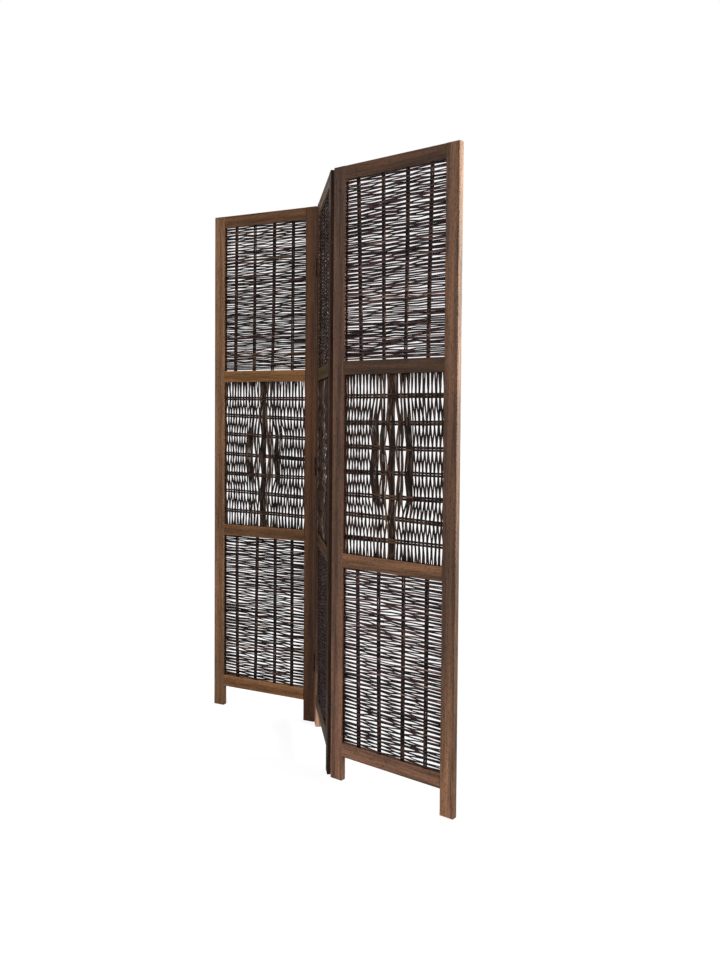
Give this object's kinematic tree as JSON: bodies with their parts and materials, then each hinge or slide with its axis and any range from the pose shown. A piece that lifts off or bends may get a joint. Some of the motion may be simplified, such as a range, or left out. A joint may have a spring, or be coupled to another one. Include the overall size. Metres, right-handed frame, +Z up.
{
  "type": "folding screen",
  "caption": "Folding floor screen of hinged dark wooden frames, each with two mid rails, open feet and woven willow infill gathered into a figure of five bundles in its middle field.",
  "frame": {"origin": "on the floor at the middle of the standing screen's bounding box", "axes": "+Z up, the row of panels runs along X and its front faces -Y"},
  "size_m": [1.1254, 0.244, 1.7],
  "materials": {
    "stile_wood": "walnut-stained softwood with a thin satin lacquer",
    "rail_wood": "walnut-stained softwood with a thin satin lacquer, grain along the rail",
    "dowel_wood": "bare beech",
    "willow_rod": "dark peeled willow rods, dull",
    "willow_withy": "near-black willow with its bark on, dull to satin",
    "bundled_willow": "near-black to reddish-brown willow with its bark on, gathered in bundles",
    "hinge_leaf": "bronzed steel, worn on the knuckles",
    "hinge_pin": "bronzed steel pin with bright heads",
    "screw": "bronzed countersunk screws"
  },
  "bodies": {
    "middle_panel": {"middle_stile_left": "stile_wood", "middle_stile_right": "stile_wood", "middle_top_rail": "rail_wood", "middle_upper_mid_rail": "rail_wood", "middle_lower_mid_rail": "rail_wood", "middle_bottom_rail": "rail_wood", "middle_dowels": "dowel_wood", "middle_upper_rods": "willow_rod", "middle_upper_withies": "willow_withy", "middle_middle_rods": "willow_rod", "middle_middle_withies": "willow_withy", "middle_middle_bundles": "bundled_willow", "middle_lower_rods": "willow_rod", "middle_lower_withies": "willow_withy", "left_hinge_middle_leaves": "hinge_leaf", "left_hinge_pins": "hinge_pin", "left_hinge_middle_screws": "screw", "right_hinge_middle_leaves": "hinge_leaf", "right_hinge_pins": "hinge_pin", "right_hinge_middle_screws": "screw"},
    "left_panel": {"left_stile_outer": "stile_wood", "left_stile_hinged": "stile_wood", "left_top_rail": "rail_wood", "left_upper_mid_rail": "rail_wood", "left_lower_mid_rail": "rail_wood", "left_bottom_rail": "rail_wood", "left_dowels": "dowel_wood", "left_upper_rods": "willow_rod", "left_upper_withies": "willow_withy", "left_middle_rods": "willow_rod", "left_middle_withies": "willow_withy", "left_middle_bundles": "bundled_willow", "left_lower_rods": "willow_rod", "left_lower_withies": "willow_withy", "left_hinge_outer_leaves": "hinge_leaf", "left_hinge_outer_screws": "screw"},
    "right_panel": {"right_stile_hinged": "stile_wood", "right_stile_outer": "stile_wood", "right_top_rail": "rail_wood", "right_upper_mid_rail": "rail_wood", "right_lower_mid_rail": "rail_wood", "right_bottom_rail": "rail_wood", "right_dowels": "dowel_wood", "right_upper_rods": "willow_rod", "right_upper_withies": "willow_withy", "right_middle_rods": "willow_rod", "right_middle_withies": "willow_withy", "right_middle_bundles": "bundled_willow", "right_lower_rods": "willow_rod", "right_lower_withies": "willow_withy", "right_hinge_outer_leaves": "hinge_leaf", "right_hinge_outer_screws": "screw"}
  },
  "joints": [
    {"name": "left_fold", "type": "hinge", "parent": "middle_panel", "child": "left_panel", "pos_m": [-0.18344, 0.10321, 0.85], "axis": [0, 0, 1], "range_deg": [-56.2, 123.8]},
    {"name": "right_fold", "type": "hinge", "parent": "middle_panel", "child": "right_panel", "pos_m": [0.16436, -0.10147, 0.85], "axis": [0, 0, 1], "range_deg": [-44.5, 135.5]}
  ]
}
